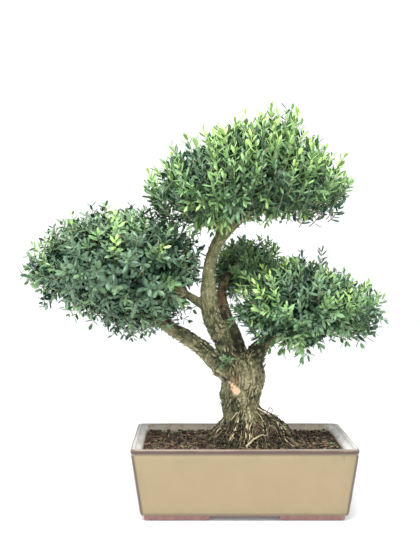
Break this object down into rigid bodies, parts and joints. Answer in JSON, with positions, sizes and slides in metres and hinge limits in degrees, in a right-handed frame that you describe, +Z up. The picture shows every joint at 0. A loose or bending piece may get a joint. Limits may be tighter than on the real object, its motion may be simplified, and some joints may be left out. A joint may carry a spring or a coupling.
{
  "type": "bonsai tree in a pot",
  "caption": "Boxwood bonsai with clipped foliage pads on a gnarled trunk, rooted in soil in a rectangular glazed pot with corner feet.",
  "frame": {"origin": "bottom centre of the whole object's box, on the plane of the pot's feet; the pot's own middle is 42 mm towards +X and 12 mm towards -Y of it", "axes": "+Z up; +X along the pot's length, to the right seen from the front; +Y away from the front, towards the small pad at the back"},
  "size_m": [0.3679, 0.1957, 0.4106],
  "materials": {
    "tan_glaze": "glossy tan glaze over red-brown clay, thin at the edges, lime scale inside the rim",
    "black_mesh": "matte",
    "dark_soil": "moist granular soil",
    "bark": "rough flaky bark with patches of moss",
    "leaf_green": "waxy leaves, glossy on top"
  },
  "bodies": {
    "root": {"pot": "tan_glaze", "drain_screen_left": "black_mesh", "drain_screen_right": "black_mesh", "soil": "dark_soil", "trunk": "bark", "trunk_sprout": "leaf_green", "foliage_left": "leaf_green", "foliage_top": "leaf_green", "foliage_right": "leaf_green", "foliage_back": "leaf_green"}
  },
  "joints": []
}
